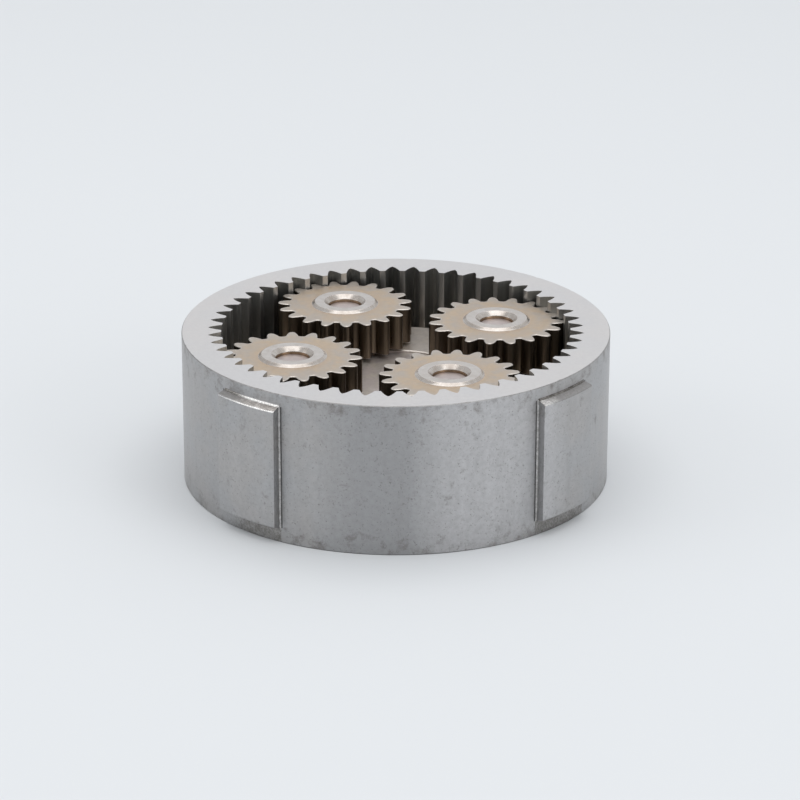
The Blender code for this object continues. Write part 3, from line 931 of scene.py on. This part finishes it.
def pin(name, node, centre, materials, body):
    low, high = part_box(node)
    shape = Shape()
    profile = [
        (PIN_RADIUS - PIN_EDGE, high.z),
        (PIN_RADIUS - PIN_EDGE / 3, high.z - PIN_EDGE / 3),
        (PIN_RADIUS, high.z - PIN_EDGE),
        (PIN_RADIUS, low.z + PIN_EDGE),
        (PIN_RADIUS - PIN_EDGE, low.z),
    ]
    top, bottom = shape.turned(profile, ROUND_FACETS // 2, [0] * (len(profile) - 1))
    shape.face(top, 0)
    shape.face(bottom, 0)
    piece(name, shape, [materials["pin_end"]], body, node, 0.0, centre)


def node_centre(node):
    low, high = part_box(node)
    middle = (low + high) / 2
    return Vector((middle.x, middle.y))


def planet_set(stage, label, carrier_body, materials):
    for number in range(1, PLANET_COUNT + 1):
        pin_node = f"{stage}_pin_{number}"
        gear_node = f"{stage}_planet_{number}"
        centre = node_centre(pin_node)
        turn = meshed_planet_turn(math.atan2(centre.y, centre.x) % (2 * math.pi))
        planet(f"{label}_planet_{number}", gear_node, centre, turn, materials, gear_node)
        pin(f"{label}_pin_{number}", pin_node, centre, materials, carrier_body)


# ---------------------------------------------------------------- carriers and sun

def pin_holes(stage):
    """Clockwise outlines of the holes in a carrier that its planets' pins are pressed into."""
    centres = [node_centre(f"{stage}_pin_{k}") for k in range(1, PLANET_COUNT + 1)]
    return [circle(PIN_BORE, HOLE_FACETS, centre)[::-1] for centre in centres]


def upper_carrier(materials):
    low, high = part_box("stage1_carrier")
    floor_height = high.z - RECESS_DEPTH
    shape = Shape()
    outlines = [circle(high.x, ROUND_FACETS)] + pin_holes("stage1")
    ends = [shape.eased(line, low.z, high.z, PLATE_EDGE, 0, 1) for line in outlines]
    shank_hole = circle(SHANK_BORE, HOLE_FACETS)[::-1]
    hole_bottom, hole_top = shape.eased(shank_hole, low.z, floor_height, SMALL_EDGE, 0, 0)
    profile = [
        (RECESS_RADIUS + RECESS_EDGE, high.z),
        (RECESS_RADIUS, high.z - RECESS_EDGE),
        (RECESS_RADIUS, floor_height),
    ]
    rim, recess_floor = shape.turned(profile, ROUND_FACETS, [1, 2])
    shape.fill([bottom for bottom, top in ends] + [hole_bottom], 0)
    shape.fill([top for bottom, top in ends] + [rim], 0)
    shape.fill([recess_floor, hole_top], 2)
    finishes = [materials[name] for name in ("carrier", "planet_edge", "carrier_recess")]
    piece("upper_carrier", shape, finishes, "stage1_carrier", "stage1_carrier")


def meshed_sun_turn(angle):
    """Turn of the sun gear that puts its spaces over the teeth of the planet at this place."""
    planet_pitch = 2 * math.pi / PLANET_TEETH
    offset = (meshed_planet_turn(angle) - angle - math.pi) % planet_pitch
    return angle - offset * PLANET_TEETH / SUN_TEETH + math.pi / SUN_TEETH


def lower_sun(materials):
    low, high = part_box("stage2_sun")
    shape = Shape()
    outline = toothed(SUN_TEETH, TOOTH_THICKNESS, SUN_ROOT, SUN_TIP, PLANET_ROOT_ROUND,
                      PLANET_TIP_ROUND)
    face_bottom, face_top = shape.eased(outline, low.z, SUN_TOP, GEAR_EDGE, 1, 2)
    profile = [
        (SHANK_RADIUS, SUN_TOP),
        (SHANK_RADIUS, high.z - PLATE_EDGE),
        (SHANK_RADIUS - PLATE_EDGE, high.z),
    ]
    foot, end = shape.turned(profile, HOLE_FACETS, [0, 2])
    shape.fill([face_top, foot], 0)
    shape.face(face_bottom, 0)
    shape.face(end, 0)
    finishes = [materials["sun_face"], materials["sun"], materials["planet_edge"]]
    piece("lower_sun", shape, finishes, "stage1_carrier", "stage2_sun",
          meshed_sun_turn(STAGE2_FIRST_ANGLE))


def drive_carrier(materials):
    low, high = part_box("output_carrier")
    plate_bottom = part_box("stage2_pin_1")[0].z - PIN_TAIL_GAP
    shape = Shape()
    outlines = [circle(high.x, ROUND_FACETS)] + pin_holes("stage2")
    ends = [shape.eased(line, plate_bottom, high.z, PLATE_EDGE, 0, 1) for line in outlines]
    corner_radius = SOCKET_ACROSS_FLATS / 2 / math.cos(math.pi / SOCKET_SIDES)
    socket = circle(corner_radius, SOCKET_SIDES)[::-1]
    mouth = moved_in(socket, SOCKET_LEAD)
    socket_top = shape.level(socket, high.z)
    socket_low = shape.level(socket, low.z + SOCKET_LEAD)
    socket_mouth = shape.level(mouth, low.z)
    shape.walls([socket_top, socket_low, socket_mouth], [0, 1])
    profile = [
        (OUTPUT_HUB_RADIUS, plate_bottom),
        (OUTPUT_HUB_RADIUS, low.z + PLATE_EDGE),
        (OUTPUT_HUB_RADIUS - PLATE_EDGE, low.z),
    ]
    foot, end = shape.turned(profile, ROUND_FACETS, [2, 1])
    shape.fill([bottom for bottom, top in ends] + [foot], 0)
    shape.fill([top for bottom, top in ends] + [socket_top], 0)
    shape.fill([end, socket_mouth], 0)
    finishes = [materials["carrier"], materials["planet_edge"], materials["plate"]]
    piece("drive_carrier", shape, finishes, "output_carrier", "output_carrier")


# ---------------------------------------------------------------- end of the ring

def round_plate(name, node, bore, facets, finishes):
    """A turned ring with a bore and eased edges."""
    low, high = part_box(node)
    shape = Shape()
    outlines = [circle(high.x, facets), circle(bore, facets)[::-1]]
    ends = [shape.eased(line, low.z, high.z, SMALL_EDGE, 0, 1) for line in outlines]
    shape.fill([bottom for bottom, top in ends], 0)
    shape.fill([top for bottom, top in ends], 0)
    piece(name, shape, finishes, "root", node)


def snap_ring(materials):
    """An internal circlip: an open ring whose two ends carry lugs with a hole each."""
    low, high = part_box("retaining_ring")
    start = CLIP_OPENING_ANGLE + CLIP_GAP_ANGLE / 2
    end = CLIP_OPENING_ANGLE + 2 * math.pi - CLIP_GAP_ANGLE / 2
    lug = CLIP_LUG_ANGLE
    edge = arc(high.y, start, end, ROUND_FACETS)
    edge += arc(CLIP_LUG_RADIUS, end, end - lug, CLIP_LUG_STEPS)
    edge += arc(CLIP_INNER_RADIUS, end - lug, start + lug, ROUND_FACETS)
    edge += arc(CLIP_LUG_RADIUS, start + lug, start, CLIP_LUG_STEPS)
    outlines = [edge]
    for angle in (start + lug / 2, end - lug / 2):
        outlines.append(circle(CLIP_HOLE_RADIUS, HOLE_FACETS, polar(CLIP_HOLE_PLACE, angle))[::-1])
    shape = Shape()
    ends = [shape.eased(line, low.z, high.z, SMALL_EDGE, 0, 0) for line in outlines]
    shape.fill([bottom for bottom, top in ends], 0)
    shape.fill([top for bottom, top in ends], 0)
    piece("snap_ring", shape, [materials["spring"]], "root", "retaining_ring")


# ---------------------------------------------------------------- setting

def floor():
    half = FLOOR_HALF
    mesh = bpy.data.meshes.new("floor")
    corners = [(-half, -half, 0), (half, -half, 0), (half, half, 0), (-half, half, 0)]
    mesh.from_pydata(corners, [], [(0, 1, 2, 3)])
    obj = bpy.data.objects.new("floor", mesh)
    bpy.context.scene.collection.objects.link(obj)
    material = bpy.data.materials.new("floor_paper")
    material.use_nodes = True
    shader = material.node_tree.nodes["Principled BSDF"]
    shader.inputs["Base Color"].default_value = (*FLOOR_COLOR, 1.0)
    shader.inputs["Roughness"].default_value = FLOOR_ROUGHNESS
    shader.inputs["Specular IOR Level"].default_value = 0.0
    mesh.materials.append(material)


def soft_box(name, place, aim, size, radiance):
    """A square light of that size, aimed at a point, as bright as that all over its face."""
    lamp = bpy.data.lights.new(name, "AREA")
    lamp.shape = "SQUARE"
    lamp.size = size
    lamp.energy = radiance * math.pi * size * size
    obj = bpy.data.objects.new(name, lamp)
    bpy.context.scene.collection.objects.link(obj)
    obj.location = place
    direction = Vector(aim) - Vector(place)
    obj.rotation_euler = direction.to_track_quat("-Z", "Y").to_euler()


def surroundings():
    world = bpy.data.worlds.new("studio")
    bpy.context.scene.world = world
    world.use_nodes = True
    tree = world.node_tree
    direction = tree.nodes.new("ShaderNodeTexCoord")
    facing = tree.nodes.new("ShaderNodeVectorMath")
    facing.operation = "DOT_PRODUCT"
    facing.inputs[1].default_value = AIR_BRIGHT_SIDE
    tree.links.new(direction.outputs["Generated"], facing.inputs[0])
    strength = tree.nodes.new("ShaderNodeMapRange")
    strength.inputs["From Min"].default_value = -1.0
    strength.inputs["From Max"].default_value = 1.0
    strength.inputs["To Min"].default_value = AIR_DIM
    strength.inputs["To Max"].default_value = AIR_BRIGHT
    tree.links.new(facing.outputs["Value"], strength.inputs["Value"])
    background = tree.nodes["Background"]
    background.inputs["Color"].default_value = (*AIR_COLOR, 1.0)
    tree.links.new(strength.outputs["Result"], background.inputs["Strength"])
    view = bpy.context.scene.view_settings
    view.view_transform = "Standard"
    view.look = "None"


def camera():
    target = Vector((0, 0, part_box("ring_gear")[1].z))
    back = Vector((0, -math.cos(CAMERA_ELEVATION), math.sin(CAMERA_ELEVATION)))
    forward = -back
    right = Vector((1, 0, 0))
    axes = Matrix((right, right.cross(forward), forward))
    roll = Matrix.Rotation(CAMERA_ROLL, 3, "Z")
    aim = Vector((0, 0, 1)).rotation_difference(Vector((AIM_ACROSS, AIM_UP, 1))).to_matrix()
    rows = aim @ roll @ axes
    data = bpy.data.cameras.new("camera")
    data.lens = CAMERA_LENS
    data.sensor_width = CAMERA_SENSOR
    data.clip_start = CAMERA_NEAR
    data.clip_end = CAMERA_FAR
    obj = bpy.data.objects.new("camera", data)
    turned = Matrix((rows[0], rows[1], -rows[2])).transposed().to_4x4()
    obj.matrix_world = Matrix.Translation(target + back * CAMERA_DISTANCE) @ turned
    bpy.context.scene.collection.objects.link(obj)
    bpy.context.scene.camera = obj


def main():
    materials = make_materials()
    ring_gear(materials)
    planet_set("stage1", "upper", "stage1_carrier", materials)
    upper_carrier(materials)
    lower_sun(materials)
    planet_set("stage2", "lower", "output_carrier", materials)
    drive_carrier(materials)
    round_plate("bush_ring", "output_bush", BUSH_BORE, HOLE_FACETS,
                [materials["bronze"], materials["bronze"]])
    round_plate("cover_plate", "end_plate", END_PLATE_BORE, ROUND_FACETS,
                [materials["plate"], materials["dark_edge_and_shade_line"]])
    snap_ring(materials)
    floor()
    surroundings()
    soft_box("overhead", *OVERHEAD_LIGHT)
    soft_box("side", *SIDE_LIGHT)
    soft_box("left", *LEFT_LIGHT)
    camera()


main()
